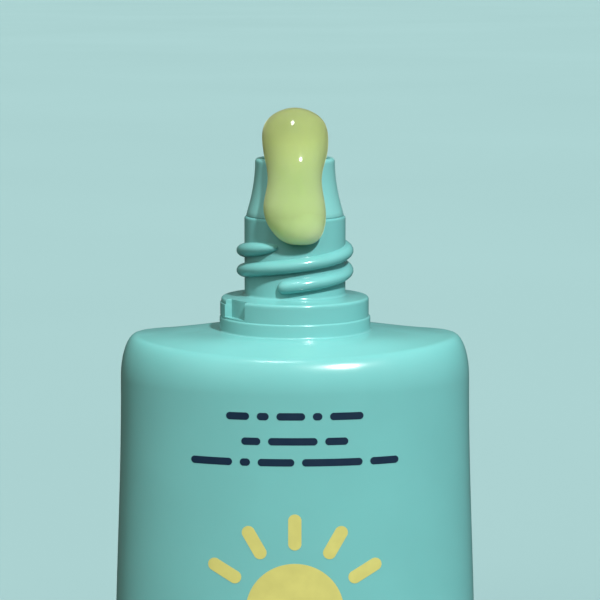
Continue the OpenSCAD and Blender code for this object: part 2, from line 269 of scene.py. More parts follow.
def select_where(piece, test):
    """Selects the vertices whose place passes the test."""
    bpy.ops.mesh.select_all(action="DESELECT")
    mesh = bmesh.from_edit_mesh(piece.data)
    for vertex in mesh.verts:
        vertex.select = test(vertex.co)
    mesh.select_flush_mode()
    bmesh.update_edit_mesh(piece.data)


def ring(wide, deep, z, y=0.0, x=0.0):
    """One level ring: half its width, half its depth and its centre."""
    return wide, deep, Vector((x, y, z))


def round_rings(outline, y=0.0):
    """Level round rings from an outline's radii and heights."""
    return [ring(r, r, z, y) for r, z in outline]


def grow(rings):
    """Extrudes the selected rim from ring to ring, and sizes each new rim about its own centre."""
    for (wide, deep, at), (next_wide, next_deep, next_at) in zip(rings, rings[1:]):
        bpy.ops.mesh.extrude_region_move(TRANSFORM_OT_translate={"value": next_at - at})
        bpy.ops.transform.resize(value=(next_wide / wide, next_deep / deep, 1), center_override=next_at)


def face_out():
    """Turns every face outwards."""
    bpy.ops.mesh.select_all(action="SELECT")
    bpy.ops.mesh.normals_make_consistent(inside=False)


def close_skin():
    """Merges rims that meet, closes the open ends and turns every face outwards."""
    bpy.ops.mesh.select_all(action="SELECT")
    bpy.ops.mesh.remove_doubles(threshold=NEAR)
    bpy.ops.mesh.fill_holes(sides=0)
    face_out()


def grow_skin(piece, rings):
    """Grows a skin from its first rim, which is still round, and closes it."""
    wide, deep, at = rings[0]
    bpy.ops.transform.resize(value=(1, deep / wide, 1), center_override=at)
    grow(rings)
    close_skin()
    return piece


def oval_skin(name, rings, corner_points=32):
    """A skin of oval rings, begun from a square whose corners are rounded until they meet."""
    wide, _, at = rings[0]
    begin()
    bpy.ops.mesh.primitive_plane_add(size=2 * wide, location=at)
    piece = edit(name)
    bpy.ops.mesh.bevel(offset_type="PERCENT", offset_pct=50, segments=corner_points,
                       profile=OVAL_PROFILE, affect="VERTICES")
    bpy.ops.mesh.remove_doubles(threshold=NEAR)
    bpy.ops.mesh.delete(type="ONLY_FACE")
    bpy.ops.mesh.select_all(action="SELECT")
    return grow_skin(piece, rings)


def round_skin(name, rings, points=96):
    """A skin of round or elliptic rings, begun from a circle."""
    wide, _, at = rings[0]
    begin()
    bpy.ops.mesh.primitive_circle_add(vertices=points, radius=wide, location=at)
    return grow_skin(edit(name), rings)


def arc(r, z, radius, start, end, steps=5):
    """Points of an arc in the plane of a turned outline, by angles in degrees."""
    turns = [math.radians(start + (end - start) * i / steps) for i in range(steps + 1)]
    return [(r + radius * math.cos(a), z + radius * math.sin(a)) for a in turns]


def tube_outline(inner, outer, low, high, soft, steps):
    """The outline of a tube whose upper rim is rounded inside and outside."""
    outline = [(inner, low), (outer, low)] + arc(outer - soft, high - soft, soft, 0, 90, steps)
    return outline + arc(inner + soft, high - soft, soft, 90, 180, steps) + [(inner, low)]


def middle_y(low, high):
    """The middle of a box from front to back."""
    return (low.y + high.y) / 2


def turn_about(turn, axis, centre):
    """Turns the selection the right-handed way; without a window the operator turns the other way."""
    bpy.ops.transform.rotate(value=-turn, orient_axis=axis, center_override=centre)


def join(pieces):
    """Makes one object of several."""
    begin()
    for piece in pieces:
        piece.select_set(True)
    bpy.context.view_layer.objects.active = pieces[0]
    if len(pieces) > 1:
        bpy.ops.object.join()
    return bpy.context.active_object


def apply_modifier(piece, kind, **settings):
    """Adds one modifier, sets it and applies it."""
    pick(piece)
    modifier = piece.modifiers.new(kind.title(), kind)
    for key, value in settings.items():
        setattr(modifier, key, value)
    bpy.ops.object.modifier_apply(modifier=modifier.name)


def hand_over(piece, body, slot, material, *nodes, sharp=40):
    """Shades the finished piece, gives it its material and ties it to the frame."""
    pick(piece)
    bpy.ops.object.transform_apply(location=True, rotation=True, scale=True)
    bpy.ops.object.shade_smooth_by_angle(angle=math.radians(sharp))
    piece.data.materials.clear()
    piece.data.materials.append(material)
    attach(piece, body)
    if nodes:
        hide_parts(*nodes)


def thread_bead(name, wall_r, out, width, z, start, turn, lead, y=0.0):
    """One rounded thread round an axis, swept section by section and faded into its wall at both ends."""
    side = math.copysign(1, out)
    section_r = wall_r - side * THREAD_ROOT
    reach = abs(out) + THREAD_ROOT
    steps = math.ceil(turn / THREAD_STEP)
    centre = Vector((0, y, 0))

    def fullness(share):
        near = min(1, share / THREAD_BLUNT)
        far = min(1, (1 - share) / THREAD_FADE)
        full = min(math.sqrt(near * (2 - near)), math.sqrt(far * (2 - far)))
        return THREAD_TIP + (1 - THREAD_TIP) * full

    # The sections lie closer together at the two ends
    shares = sorted({0, 0.004, 0.012, 0.02, *[i / steps for i in range(1, steps)], 0.985, 0.994, 1})
    place = Vector((section_r, y, z))
    begin()
    bpy.ops.mesh.primitive_circle_add(vertices=18, radius=fullness(0) * reach, location=place,
                                      rotation=(math.pi / 2, 0, 0))
    piece = edit(name)
    bpy.ops.transform.resize(value=(1, 1, width / 2 / reach), center_override=place)
    turn_about(start, "Z", centre)
    for before, now in zip(shares, shares[1:]):
        rise = lead * turn / (2 * math.pi) * (now - before)
        bpy.ops.mesh.extrude_region_move(TRANSFORM_OT_translate={"value": (0, 0, rise)})
        turn_about(turn * (now - before), "Z", centre)
        at = start + turn * now
        z += rise
        place = Vector((section_r * math.cos(at), y + section_r * math.sin(at), z))
        scale = fullness(now) / fullness(before)
        bpy.ops.transform.resize(value=(scale, scale, scale), center_override=place)
    close_skin()
    return piece


def material_tree(name):
    """A new node material, its nodes, its shader and the piece's own coordinates."""
    material = bpy.data.materials.new(name)
    material.use_nodes = True
    tree = material.node_tree
    shader = tree.nodes["Principled BSDF"]
    place = tree.nodes.new("ShaderNodeTexCoord")
    return material, tree, shader, place.outputs["Object"]


def set_inputs(node, values):
    """Sets a node's inputs by their names."""
    for name, value in values.items():
        node.inputs[name].default_value = value


def noise(tree, place, scale, detail=3.0):
    """A noise over the piece, by its number of waves in a metre."""
    node = tree.nodes.new("ShaderNodeTexNoise")
    set_inputs(node, {"Scale": scale, "Detail": detail})
    tree.links.new(place, node.inputs["Vector"])
    return node.outputs["Fac"]


def between(tree, factor, low, high):
    """Maps a noise to a range of values."""
    node = tree.nodes.new("ShaderNodeMapRange")
    set_inputs(node, {"From Min": NOISE_LOW, "From Max": NOISE_HIGH, "To Min": low, "To Max": high})
    tree.links.new(factor, node.inputs["Value"])
    return node.outputs["Result"]


def shades(tree, factor, tint, spread):
    """Mixes a colour with a slightly darker and a slightly lighter shade of itself."""
    node = tree.nodes.new("ShaderNodeValToRGB")
    stops = node.color_ramp.elements
    for stop, position, share in zip(stops, (NOISE_LOW, NOISE_HIGH), (1 - spread, 1 + spread)):
        stop.position = position
        stop.color = [c * share for c in tint] + [1]
    tree.links.new(factor, node.inputs["Fac"])
    return node.outputs["Color"]


def grain(tree, height, shader, strength, distance):
    """Roughens a shader's surface by a noise, to a depth in metres."""
    node = tree.nodes.new("ShaderNodeBump")
    set_inputs(node, {"Strength": strength, "Distance": distance})
    tree.links.new(height, node.inputs["Height"])
    tree.links.new(node.outputs["Normal"], shader.inputs["Normal"])


def mottled(name, tint, spread, tint_scale, rough, rough_scale):
    """A new material whose colour and gloss vary a little, its nodes, its shader and its coordinates."""
    material, tree, shader, place = material_tree(name)
    tree.links.new(shades(tree, noise(tree, place, tint_scale), tint, spread), shader.inputs["Base Color"])
    tree.links.new(between(tree, noise(tree, place, rough_scale), *rough), shader.inputs["Roughness"])
    return material, tree, shader, place


def plastic_material(name, tint, rough, ripple):
    """Moulded plastic: cloudy pigment, a gloss that varies, and the faint ripple of the mould."""
    material, tree, shader, place = mottled(name, tint, 0.03, 90, (rough - 0.03, rough + 0.04), 260)
    grain(tree, noise(tree, place, 700, 5), shader, ripple, 0.05 * MM)
    set_inputs(shader, {"IOR": 1.5, "Subsurface Weight": 0.12, "Subsurface Radius": (0.4, 1.0, 0.9),
                        "Subsurface Scale": 1.2 * MM})
    return material


# Share of the bead's height, and the shares of the product's red, green and blue there: deeper where the bead
# stands thick on the nozzle and paler where it thins out to its foot, with painted shade at the top and
# painted light in the foot
GEL_DEPTH_AND_LIGHT = [
    (0.05, (1.65, 1.85, 1.7)), (0.22, (1.0, 1.0, 1.0)), (0.50, (0.94, 0.92, 0.94)),
    (0.76, (0.86, 0.78, 0.72)), (0.96, (0.63, 0.56, 0.55))]


def gel_material(tint):
    """Product: a glossy, slightly translucent cream, deeper in colour towards the top, with painted shade at
    the top, painted light in its foot and faint streaks.
    """
    material, tree, shader, place = material_tree("product_cream")
    split = tree.nodes.new("ShaderNodeSeparateXYZ")
    height = tree.nodes.new("ShaderNodeMapRange")
    set_inputs(height, {"From Min": BEAD_LOW.z, "From Max": BEAD_HIGH.z})
    streaks = tree.nodes.new("ShaderNodeMath")
    # The height ramp paints shade onto the top of the bead and light into its foot, as well as the product's
    # thicker and thinner parts
    depth_and_light = tree.nodes.new("ShaderNodeValToRGB")
    tree.links.new(place, split.inputs["Vector"])
    tree.links.new(split.outputs["Z"], height.inputs["Value"])
    tree.links.new(height.outputs["Result"], streaks.inputs[0])
    tree.links.new(between(tree, noise(tree, place, 220, 2), -0.03, 0.03), streaks.inputs[1])
    tree.links.new(streaks.outputs["Value"], depth_and_light.inputs["Fac"])
    stops = depth_and_light.color_ramp.elements
    stops[0].position, stops[1].position = GEL_DEPTH_AND_LIGHT[0][0], GEL_DEPTH_AND_LIGHT[-1][0]
    for share, _ in GEL_DEPTH_AND_LIGHT[1:-1]:
        stops.new(share)
    for stop, (_, shares) in zip(stops, GEL_DEPTH_AND_LIGHT):
        stop.color = [c * s for c, s in zip(tint, shares)] + [1]
    tree.links.new(depth_and_light.outputs["Color"], shader.inputs["Base Color"])
    tree.links.new(between(tree, noise(tree, place, 400), 0.07, 0.13), shader.inputs["Roughness"])
    grain(tree, noise(tree, place, 180, 1), shader, 0.15, 0.2 * MM)
    set_inputs(shader, {"IOR": 1.42, "Subsurface Weight": 1, "Subsurface Radius": (1.0, 1.0, 0.7),
                        "Subsurface Scale": 12 * MM, "Sheen Weight": 0.6, "Sheen Roughness": 0.35,
                        "Sheen Tint": (0.9, 1, 0.6, 1)})
    return material


def ink_material(name, tint, rough):
    """Printed ink: nearly even colour, with the small roughness of a screened layer."""
    material, tree, shader, place = mottled(name, tint, 0.05, 500, (rough - 0.04, rough + 0.06), 900)
    grain(tree, noise(tree, place, 2500), shader, 0.1, 0.02 * MM)
    return material


def foam_material(tint):
    """Sealing foam: matt, with fine cells."""
    material, tree, shader, place = mottled("liner_foam", tint, 0.05, 600, (0.6, 0.8), 900)
    cells = tree.nodes.new("ShaderNodeTexVoronoi")
    cells.inputs["Scale"].default_value = 2200
    tree.links.new(place, cells.inputs["Vector"])
    grain(tree, cells.outputs["Distance"], shader, 0.35, 0.1 * MM)
    return material


def stage_material(tint):
    """Painted paper of the stage: matt, with a faint cloudiness."""
    material, tree, shader, place = mottled("stage_paper", tint, 0.02, 2.5, (0.75, 0.9), 30)
    grain(tree, noise(tree, place, 900), shader, 0.05, 0.05 * MM)
    shader.inputs["Specular IOR Level"].default_value = 0
    return material


def bottle_plastic(context):
    """The plastic that the bottle and the cap share."""
    kept = bpy.data.materials.get("bottle_plastic_satin")
    return kept or plastic_material("bottle_plastic_satin", context.scene.bottle_finishes.plastic, 0.20, 0.04)


def body_side(sizes, slim, wide, z):
    """Half width or half depth of the walls at a height: slim at the shoulder, wider at the hip."""
    top = sizes.height - sizes.shoulder_h
    share = min(1, max(0, (top - z) / (top - sizes.hip_z)))
    return (slim + (wide - slim) * share * share * (3 - 2 * share)) / 2


def wall_ring(sizes, z, inset):
    """The ring of the walls at a height, set in by a distance."""
    return ring(body_side(sizes, sizes.shoulder_w, sizes.hip_w, z) - inset,
                body_side(sizes, sizes.shoulder_d, sizes.hip_d, z) - inset, z)


def arch_shoulder(body, sizes):
    """Settles the rings between the walls and the collar's flat into the arched, round-edged shoulder."""
    top = sizes.height - sizes.shoulder_h
    mesh = bmesh.from_edit_mesh(body.data)
    for vertex in mesh.verts:
        share = (vertex.co.z - top) / sizes.shoulder_h
        if share > 0.0001:
            half_w = sizes.flat_r + (sizes.shoulder_w / 2 - sizes.flat_r) * (1 - share)
            side = min(1, (vertex.co.x / half_w) ** 2)
            edge = max(0, 1 - share / (SHOULDER_EDGE + (SIDE_EDGE - SHOULDER_EDGE) * side))
            blend = min(1, max(0, 1 - share) / SHOULDER_BLEND)
            fall = sizes.arch_fall * blend * blend * (3 - 2 * blend)
            height = sizes.shoulder_h - fall * (2 * vertex.co.y / sizes.shoulder_d) ** 2
            height *= 1 - SIDE_FALL * side * max(0, 1 - share)
            vertex.co.z = top + math.sqrt(1 - edge * edge) * height
    bmesh.update_edit_mesh(body.data)
    face_out()


class BOTTLE_OT_body(Operator):
    """Models the flat-oval body from its hollow base up over the shoulder"""
    bl_idname = "bottle.body"
    bl_label = "Bottle body"

    def execute(self, context):
        sizes = context.scene.bottle_body
        foot = wall_ring(sizes, 0, sizes.edge_r + sizes.rim)
        steepest = math.pi / 3
        rings = [ring(foot[0] * math.cos(a), foot[1] * math.cos(a),
                      sizes.push_up * math.sin(a) / math.sin(steepest))
                 for a in (steepest, *map(math.radians, (50, 40, 30, 20, 10, 3)))]
        rings += [wall_ring(sizes, 0, sizes.edge_r + sizes.rim * share) for share in (0.8, 0.2)]
        for a in map(math.radians, range(0, 91, 10)):
            z = sizes.edge_r * (1 - math.cos(a))
            rings.append(wall_ring(sizes, z, sizes.edge_r * (1 - math.sin(a))))
        top = sizes.height - sizes.shoulder_h
        rings += [wall_ring(sizes, sizes.edge_r + (top - sizes.edge_r) * i / 16, 0) for i in range(1, 17)]
        flat_r = sizes.flat_r
        shares = [SHOULDER_EDGE * (1 - math.cos(math.radians(a))) for a in (4, *range(9, 88, 6), 90)]
        shares += [SHOULDER_EDGE + (1 - SHOULDER_EDGE) * i / 14 for i in range(1, 15)]
        for share in shares:
            rings.append(ring(flat_r + (sizes.shoulder_w / 2 - flat_r) * (1 - share),
                              flat_r + (sizes.shoulder_d / 2 - flat_r) * (1 - share),
                              top + sizes.shoulder_h * share))
        rings.append(ring(flat_r * 0.8, flat_r * 0.8, sizes.height))
        body = oval_skin("bottle_body", rings, 40)
        arch_shoulder(body, sizes)

        begin()
        bpy.ops.mesh.primitive_cube_add(size=sizes.push_up, location=(0, 0, sizes.push_up))
        seam = edit("base_seam")
        bpy.ops.transform.resize(value=(sizes.seam_l / sizes.push_up, sizes.seam_w / sizes.push_up, 1),
                                 center_override=(0, 0, sizes.push_up))
        bpy.ops.mesh.bevel(offset=0.15 * MM, segments=2, affect="EDGES")
        hand_over(join([body, seam]), "bottle", "bottle_plastic", bottle_plastic(context), "bottle_shell")
        return {"FINISHED"}


class BOTTLE_OT_neck(Operator):
    """Models the stepped collar with its notch and lug, and the neck above it"""
    bl_idname = "bottle.neck"
    bl_label = "Collar and neck"

    def execute(self, context):
        sizes = context.scene.bottle_neck
        foot_z = context.scene.bottle_body.height
        low_z = foot_z + sizes.low_ring_h
        collar_z = low_z + sizes.top_ring_h
        top_r = sizes.low_ring_r - sizes.ledge
        notch_r = top_r - sizes.notch_deep
        slope_z = collar_z + sizes.slope
        neck_z = SHELL_HIGH.z
        blend_r = 0.25 * MM
        edge_r = sizes.edge_r
        lug_z = collar_z - 2 * edge_r
        lug_step = NEAR * 60
        outline = [(sizes.low_ring_r + blend_r, foot_z - blend_r)]
        outline += arc(sizes.low_ring_r + blend_r, foot_z + blend_r, blend_r, -90, -180)
        outline += arc(sizes.low_ring_r - sizes.ledge, low_z - sizes.ledge, sizes.ledge, 0, 90, 4)
        outline += [(top_r, low_z + sizes.ledge), (top_r, low_z + 1.2 * sizes.ledge)]
        outline += [(top_r, lug_z), (top_r, lug_z + lug_step)]
        outline += arc(top_r - edge_r, collar_z - edge_r, edge_r, 0, 90)
        outline += [(notch_r, collar_z + sizes.slope * 0.15)]
        outline += arc(sizes.neck_r + edge_r, slope_z + edge_r, edge_r, -90, -180)
        outline += arc(sizes.neck_r - edge_r, neck_z - edge_r, edge_r, 0, 90)
        bore_r = sizes.neck_r - sizes.neck_wall
        outline += [(bore_r + TINY_RIM, neck_z), (bore_r, neck_z - TINY_RIM), (bore_r, slope_z)]
        neck = round_skin("bottle_neck", round_rings(outline), 180)

        def push(low, high, start, turn, to_r):
            """Moves the upper ring's rim of one sector in or out to one radius."""
            rows = {(r, z) for r, z in outline if low < z < high and r > notch_r + NEAR}
            for r, z in sorted(rows):
                select_where(neck, lambda co: abs(co.z - z) < NEAR and abs(co.xy.length - r) < NEAR
                             and (math.atan2(co.y, co.x) - start) % (2 * math.pi) <= turn)
                bpy.ops.transform.resize(value=(to_r / r, to_r / r, 1), center_override=(0, 0, z))

        push(low_z + sizes.ledge + NEAR, slope_z, sizes.notch_from, sizes.notch_angle, notch_r)
        lug_from = sizes.notch_from - sizes.lug_angle - math.radians(1)
        push(low_z + NEAR, lug_z + NEAR, lug_from, sizes.lug_angle, top_r + sizes.lug_out)
        face_out()
        hand_over(neck, "bottle", "bottle_plastic", bottle_plastic(context), "bottle_shell", sharp=35)
        return {"FINISHED"}


class BOTTLE_OT_thread(Operator):
    """Models the two rounded threads on the neck"""
    bl_idname = "bottle.thread"
    bl_label = "Neck threads"

    def execute(self, context):
        sizes = context.scene.bottle_neck
        start_z = context.scene.bottle_body.height + sizes.low_ring_h + sizes.top_ring_h + sizes.thread_z
        beads = []
        for i in range(THREAD_STARTS):
            start = sizes.thread_from + 2 * math.pi * i / THREAD_STARTS
            beads.append(thread_bead(f"thread_{i}", sizes.neck_r, sizes.thread_out, sizes.thread_w, start_z,
                                     start, sizes.thread_turn, sizes.lead))
        threads = join(beads)
        threads.name = "bottle_threads"
        hand_over(threads, "bottle", "bottle_plastic", bottle_plastic(context), "bottle_shell", sharp=60)
        return {"FINISHED"}


class BOTTLE_OT_nozzle(Operator):
    """Models the pressed-in nozzle with its plug, flange, waisted cone and dished mouth"""
    bl_idname = "bottle.nozzle"
    bl_label = "Nozzle"

    def execute(self, context):
        sizes = context.scene.bottle_nozzle
        plug_r = context.scene.bottle_neck.neck_r - context.scene.bottle_neck.neck_wall - PLUG_GAP
        low_z, neck_z, tip_z = NOZZLE_LOW.z, SHELL_HIGH.z, NOZZLE_HIGH.z
        floor_z = tip_z - sizes.lip_r - sizes.dish
        bore_r = sizes.tip_r - sizes.wall
        soft = 0.12 * MM
        outline = [(bore_r, low_z), (plug_r - 2 * soft, low_z), (plug_r, low_z + 2 * soft), (plug_r, neck_z)]
        outline += arc(sizes.flange_r - soft, neck_z + soft, soft, -90, 0, 3)
        for i in range(1, 17):
            share = i / 16
            r = sizes.tip_r + (sizes.flange_r - sizes.tip_r) * (1 - share) ** WAIST_POWER
            outline.append((r, neck_z + 2 * soft + (tip_z - sizes.lip_r - neck_z - 2 * soft) * share))
        outline += arc(sizes.tip_r - sizes.lip_r, tip_z - sizes.lip_r, sizes.lip_r, 0, 180, 10)[1:]
        outline += [(sizes.tip_r - 2 * sizes.lip_r - soft, floor_z), (sizes.orifice_r + soft, floor_z),
                    (sizes.orifice_r, floor_z - soft), (sizes.orifice_r, floor_z - MOUTH_T),
                    (bore_r, floor_z - MOUTH_T), (bore_r, low_z)]
        nozzle = round_skin("nozzle", round_rings(outline))
        material = plastic_material("nozzle_plastic_satin", context.scene.bottle_finishes.nozzle, 0.30, 0.06)
        hand_over(nozzle, "bottle", "nozzle_plastic", material, "nozzle_tip", sharp=35)
        return {"FINISHED"}


# The bead as level slices: share of its height, share of its half width, its shift to the right in
# millimetres, and its front and its back, measured forwards from the axis in radii of the nozzle's mouth
BEAD_SLICES = [
    (0.000, 0.20, 0.75, 1.50, 1.34), (0.012, 0.40, 0.70, 1.62, 1.18), (0.040, 0.59, 0.58, 1.74, 1.00),
    (0.085, 0.73, 0.42, 1.82, 0.88), (0.150, 0.86, 0.20, 1.86, 0.80), (0.220, 0.92, 0.02, 1.85, 0.80),
    (0.300, 0.92, -0.10, 1.78, 0.80), (0.380, 0.85, -0.08, 1.68, 0.72), (0.460, 0.79, -0.04, 1.60, 0.62),
    (0.540, 0.81, 0.00, 1.54, 0.35), (0.610, 0.90, 0.05, 1.475, -0.20), (0.670, 0.96, 0.08, 1.365, -0.50),
    (0.740, 0.99, 0.04, 1.21, -0.64), (0.810, 0.99, 0.00, 1.05, -0.66), (0.870, 0.93, 0.00, 0.905, -0.58),
    (0.920, 0.80, 0.00, 0.76, -0.42), (0.960, 0.60, 0.00, 0.62, -0.24), (0.988, 0.34, 0.00, 0.47, -0.06),
    (1.000, 0.12, 0.00, 0.34, 0.08)]
# The front that stands for the nozzle's mouth with the whole thickness of the hanging bead before it
BEAD_WAIST_FRONT = 1.67


class BOTTLE_OT_bead(Operator):
    """Models the bead of product that stands on the nozzle and hangs over its front"""
    bl_idname = "bottle.bead"
    bl_label = "Bead of product"

    def execute(self, context):
        sizes = context.scene.bottle_nozzle
        half_w = (BEAD_HIGH.x - BEAD_LOW.x) / 2
        height = BEAD_HIGH.z - BEAD_LOW.z
        front_scale = (sizes.tip_r + sizes.bead_front) / (sizes.tip_r * BEAD_WAIST_FRONT)
        rings = []
        for share, wide, right, front, back in BEAD_SLICES:
            front_y = -sizes.tip_r * front * front_scale
            back_y = -sizes.tip_r * back
            rings.append(ring(half_w * wide, (back_y - front_y) / 2, BEAD_LOW.z + height * share,
                              (front_y + back_y) / 2, right * MM))
        bead = round_skin("sunscreen_drop", rings, 32)
        apply_modifier(bead, "SUBSURF", levels=2, render_levels=2)
        material = gel_material(context.scene.bottle_finishes.gel)
        hand_over(bead, "bottle", "sunscreen", material, "sunscreen_bead", sharp=180)
        return {"FINISHED"}


class BOTTLE_OT_fill(Operator):
    """Models the product inside the bottle, with its surface drawn up a little at the wall"""
    bl_idname = "bottle.fill"
    bl_label = "Product inside"

    def execute(self, context):
        sizes = context.scene.bottle_body
        inset = body_side(sizes, sizes.shoulder_w, sizes.hip_w, sizes.hip_z) - FILL_HIGH.x
        low, high, edge = FILL_LOW.z, FILL_HIGH.z, sizes.edge_r
        rings = [wall_ring(sizes, low, inset + edge * 1.5)]
        for a in map(math.radians, range(0, 91, 15)):
            rings.append(wall_ring(sizes, low + edge * (1 - math.cos(a)), inset + edge * (1 - math.sin(a))))
        rings += [wall_ring(sizes, low + edge + (high - low - edge) * i / 10, inset) for i in range(1, 11)]
        for deep, in_by in MENISCUS:
            wide, thick, _ = wall_ring(sizes, high, inset + in_by * MM)
            rings.append(ring(wide, thick, high - deep * MM))
        fill = oval_skin("sunscreen_inside", rings, 16)
        material = bpy.data.materials.get("product_cream") or gel_material(context.scene.bottle_finishes.gel)
        hand_over(fill, "bottle", "sunscreen", material, "sunscreen_fill")
        return {"FINISHED"}


def rounded_bar(name, length, height, at):
    """A flat bar with round ends, facing the front: a circle whose halves are drawn apart."""
    begin()
    bpy.ops.mesh.primitive_circle_add(vertices=BAR_POINTS, radius=height / 2, fill_type="NGON", location=at,
                                      rotation=(math.pi / 2, math.pi / BAR_POINTS, 0))
    bar = edit(name)
    select_where(bar, lambda co: co.x > at[0])
    bpy.ops.transform.translate(value=((length - height) / 2, 0, 0))
    select_where(bar, lambda co: co.x <= at[0])
    bpy.ops.transform.translate(value=(-(length - height) / 2, 0, 0))
    begin()
    return bar


def lay_ink(piece, ink):
    """Cuts the flat print into narrow faces, lays it on the body and gives it its thickness."""
    pick(piece)
    bpy.ops.object.mode_set(mode="EDIT")
    xs = [v.co.x for v in piece.data.vertices]
    zs = [v.co.z for v in piece.data.vertices]
    ways = ((xs, Vector((1, 0, 0)), PRINT_FACE_W), (zs, Vector((0, 0, 1)), PRINT_FACE_H))
    for values, normal, pace in ways:
        low, high = min(values), max(values)
        cuts = math.ceil((high - low) / pace)
        for i in range(1, cuts):
            bpy.ops.mesh.select_all(action="SELECT")
            bpy.ops.mesh.bisect(plane_co=normal * (low + (high - low) * i / cuts), plane_no=normal)
    begin()
    body = bpy.data.objects["bottle_body"]
    apply_modifier(piece, "SHRINKWRAP", target=body, wrap_method="PROJECT", use_project_y=True,
                   use_positive_direction=True, use_negative_direction=False, wrap_mode="ABOVE_SURFACE",
                   offset=ink / 4)
    bpy.ops.object.mode_set(mode="EDIT")
    face_out()
    mesh = bmesh.from_edit_mesh(piece.data)
    if sum(face.normal.y for face in mesh.faces) > 0:
        bpy.ops.mesh.flip_normals()
    begin()
    apply_modifier(piece, "SOLIDIFY", thickness=ink, offset=1)


# The rows of dashes: height and lengths, in millimetres
PRINT_ROWS = [(48.46, (2.9, 1.5, 3.6, 1.2, 4.2)), (45.3, (2.4, 6.2, 2.9)), (42.64, (5.2, 1.3, 4.6, 7.6, 3.6))]


class BOTTLE_OT_lines(Operator):
    """Prints three centred rows of small dashes on the front"""
    bl_idname = "bottle.lines"
    bl_label = "Printed dashes"

    def execute(self, context):
        sizes = context.scene.bottle_print
        bars = []
        for row_z, lengths in PRINT_ROWS:
            x = -(sum(lengths) * MM + sizes.dash_gap * (len(lengths) - 1)) / 2
            for length in lengths:
                middle = (x + length * MM / 2, PRINT_Y, row_z * MM)
                bars.append(rounded_bar("dash", length * MM, sizes.dash_h, middle))
                x += length * MM + sizes.dash_gap
        lines = join(bars)
        lines.name = "printed_dashes"
        lay_ink(lines, sizes.ink)
        ink = ink_material("line_ink", context.scene.bottle_finishes.line_ink, 0.4)
        hand_over(lines, "bottle", "bottle_plastic", ink)
        return {"FINISHED"}


class BOTTLE_OT_sun(Operator):
    """Prints a plain sun disc with rounded rays on the front"""
    bl_idname = "bottle.sun"
    bl_label = "Printed sun"

    def execute(self, context):
        sizes = context.scene.bottle_print
        centre = Vector((0, PRINT_Y, sizes.sun_z))
        begin()
        bpy.ops.mesh.primitive_circle_add(vertices=72, radius=sizes.sun_r, fill_type="NGON", location=centre,
                                          rotation=(math.pi / 2, 0, 0))
        disc = edit("printed_sun")
        bpy.ops.mesh.inset(thickness=sizes.sun_r * 0.12)
        begin()
        first = rounded_bar("ray", sizes.ray_to - sizes.ray_from, sizes.ray_w,
                            centre + Vector(((sizes.ray_from + sizes.ray_to) / 2, 0, 0)))
        rays = [first]
        for i in range(1, sizes.rays):
            ray = first.copy()
            ray.data = first.data.copy()
            context.collection.objects.link(ray)
            rays.append(ray)
            pick(ray)
            turn_about(2 * math.pi * i / sizes.rays, "Y", centre)
            bpy.ops.object.transform_apply(location=True, rotation=True, scale=True)
        sun = join([disc] + rays)
        lay_ink(sun, sizes.ink)
        ink = ink_material("sun_ink", context.scene.bottle_finishes.sun_ink, 0.36)
        hand_over(sun, "bottle", "bottle_plastic", ink)
        return {"FINISHED"}


def cap_ring(context, z, inset):
    """The ring of the cap's walls at a height, set in by a distance."""
    body, cap = context.scene.bottle_body, context.scene.bottle_cap
    slim = cap.taper * (1 - z / CAP_HIGH.z) + inset
    return ring(body.shoulder_w / 2 - slim, body.shoulder_d / 2 - slim, z, middle_y(CAP_LOW, CAP_HIGH))


class BOTTLE_OT_cap(Operator):
    """Models the oval cap with the socket and the gussets inside it"""
    bl_idname = "bottle.cap"
    bl_label = "Cap shell"

    def execute(self, context):
        cap = context.scene.bottle_cap
        top = CAP_HIGH.z
        lip = cap.wall / 4
        rings = [cap_ring(context, 0, 3 * cap.edge_r)]
        for a in map(math.radians, range(0, 91, 10)):
            rings.append(cap_ring(context, cap.edge_r * (1 - math.cos(a)), cap.edge_r * (1 - math.sin(a))))
        rings += [cap_ring(context, cap.edge_r + (top - lip - cap.edge_r) * i / 8, 0) for i in range(1, 9)]
        for a in map(math.radians, (30, 60, 90)):
            rings.append(cap_ring(context, top - lip + lip * math.sin(a), lip * (1 - math.cos(a))))
        for a in map(math.radians, (0, 30, 60, 90)):
            rings.append(cap_ring(context, top - lip + lip * math.cos(a), cap.wall - lip * (1 - math.sin(a))))
        foot = cap.end_t + cap.wall
        rings += [cap_ring(context, top - lip + (foot - top + lip) * i / 8, cap.wall) for i in range(1, 9)]
        for a in map(math.radians, (25, 50, 70, 90)):
            inset = cap.wall + cap.wall * (1 - math.cos(a))
            rings.append(cap_ring(context, foot - cap.wall * math.sin(a), inset))
        rings.append(cap_ring(context, cap.end_t, cap.wall * 4))
        shell = oval_skin("cap_oval", rings)

        y = rings[0][2].y
        inner = (SLEEVE_HIGH.x - SLEEVE_LOW.x) / 2 + cap.socket_gap
        outer = inner + cap.socket_wall
        high = cap.end_t + cap.socket_h
        soft = cap.socket_wall / 4
        low = cap.end_t / 2
        socket = round_skin("cap_socket", round_rings(tube_outline(inner, outer, low, high, soft, 3), y))

        pieces = [shell, socket]
        for i in range(cap.gussets):
            turn = 2 * math.pi * i / cap.gussets
            wide, deep, _ = cap_ring(context, high, cap.wall / 2)
            across = abs(math.cos(turn) / wide) ** PLAN_POWER
            along = abs(math.sin(turn) / deep) ** PLAN_POWER
            reach = (across + along) ** (-1 / PLAN_POWER)
            length = reach - inner - cap.socket_wall / 2
            tall = high - low - 2 * soft
            middle = (reach - length / 2, y, (low + high) / 2)
            begin()
            bpy.ops.mesh.primitive_cube_add(size=cap.socket_wall, location=middle)
            gusset = edit("cap_gusset")
            bpy.ops.transform.resize(value=(length / cap.socket_wall, 1, tall / cap.socket_wall),
                                     center_override=middle)
            turn_about(turn, "Z", (0, y, 0))
            bpy.ops.mesh.bevel(offset=soft / 2, segments=2, affect="EDGES")
            pieces.append(gusset)
        hand_over(join(pieces), "cap", "cap_plastic", bottle_plastic(context), "cap_shell", sharp=35)
        return {"FINISHED"}


